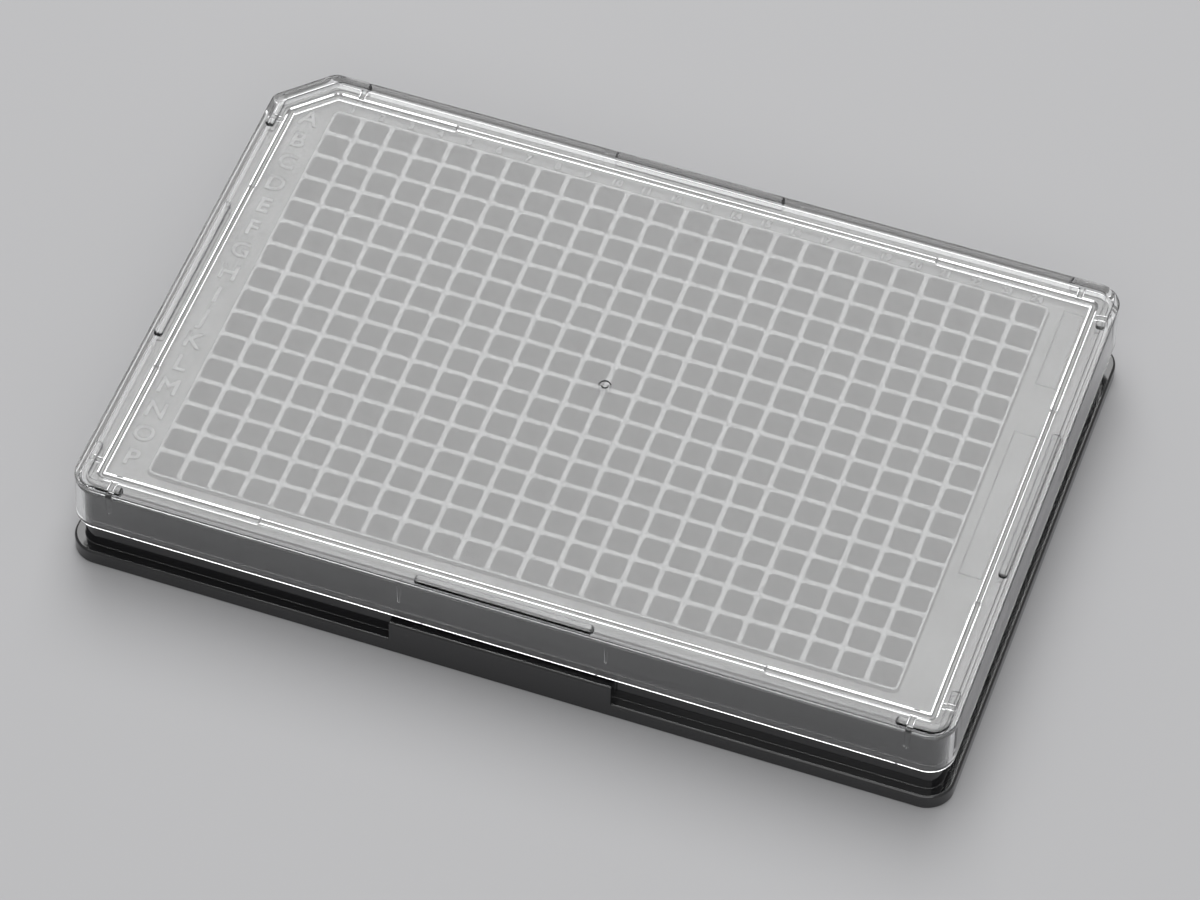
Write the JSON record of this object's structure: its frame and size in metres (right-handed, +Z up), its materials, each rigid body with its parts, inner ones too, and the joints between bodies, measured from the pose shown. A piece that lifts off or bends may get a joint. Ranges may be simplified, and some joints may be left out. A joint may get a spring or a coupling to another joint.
{
  "type": "well plate",
  "caption": "Black multiwell microplate on the standard footprint with its clear stacking lid on; the corner at well A1 is cut off.",
  "frame": {"origin": "bottom centre of the footprint, on the surface that the plate stands on", "axes": "+X along the long side from column 1 to column 24, +Y along the short side towards row A, +Z up"},
  "size_m": [0.1278, 0.0854, 0.016],
  "materials": {
    "black_plate": "gloss",
    "clear_lid": "gloss"
  },
  "bodies": {
    "root": {"plate_body": "black_plate", "lid": "clear_lid"}
  },
  "joints": []
}
